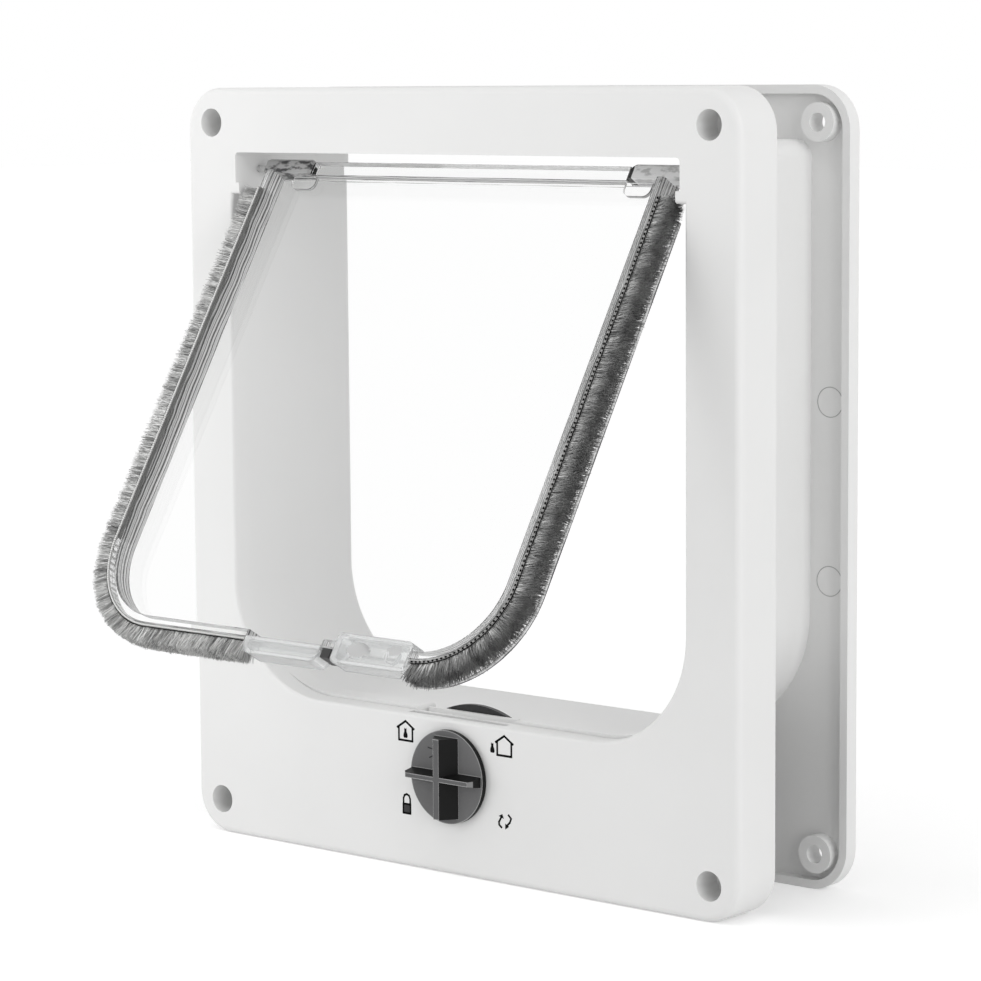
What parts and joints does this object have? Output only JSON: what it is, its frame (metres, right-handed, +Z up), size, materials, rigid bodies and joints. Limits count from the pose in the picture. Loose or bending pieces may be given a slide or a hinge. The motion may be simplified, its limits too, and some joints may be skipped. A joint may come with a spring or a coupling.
{
  "type": "cat flap",
  "caption": "White plastic cat flap with a clear swinging pane, grey pile strips and a rotary lock, its tunnel and outdoor frame joined as one unit.",
  "frame": {"origin": "centre of the four screw holes, on the back face of the indoor panel that seats on the door", "axes": "+X right seen from indoors, +Y through the door to the outside, +Z up"},
  "size_m": [0.2, 0.1275, 0.22],
  "materials": {
    "shell": "satin white moulding",
    "clear": "clear moulded acrylic",
    "sleeve": "natural nylon",
    "pin": "bright wire",
    "tape": "woven tape",
    "pile": "dense brush pile",
    "magnet": "dark bonded magnet",
    "knob": "satin dark grey moulding",
    "cam": "dark grey moulding",
    "steel": "zinc plated"
  },
  "bodies": {
    "frame": {"front_panel": "shell", "rear_frame": "shell", "sill_magnet": "magnet"},
    "flap": {"flap_pane": "clear", "sleeve_left": "sleeve", "sleeve_right": "sleeve", "hinge_pin_left": "pin", "hinge_pin_right": "pin", "pile_tape_left": "tape", "pile_tape_right": "tape", "pile_left": "pile", "pile_right": "pile", "catch": "clear", "magnet_box": "clear", "flap_magnet": "magnet"},
    "lock": {"lock_knob": "knob", "lock_cam": "cam", "cam_washer": "steel", "cam_screw": "steel"}
  },
  "joints": [
    {"name": "flap_swing", "type": "hinge", "parent": "frame", "child": "flap", "pos_m": [0, -0.006, 0.0865], "axis": [1, 0, 0], "range_deg": [-48.25, 111.75]},
    {"name": "lock_turn", "type": "hinge", "parent": "frame", "child": "lock", "pos_m": [0, -0.016, -0.0818], "axis": [0, 1, 0], "continuous": true}
  ]
}
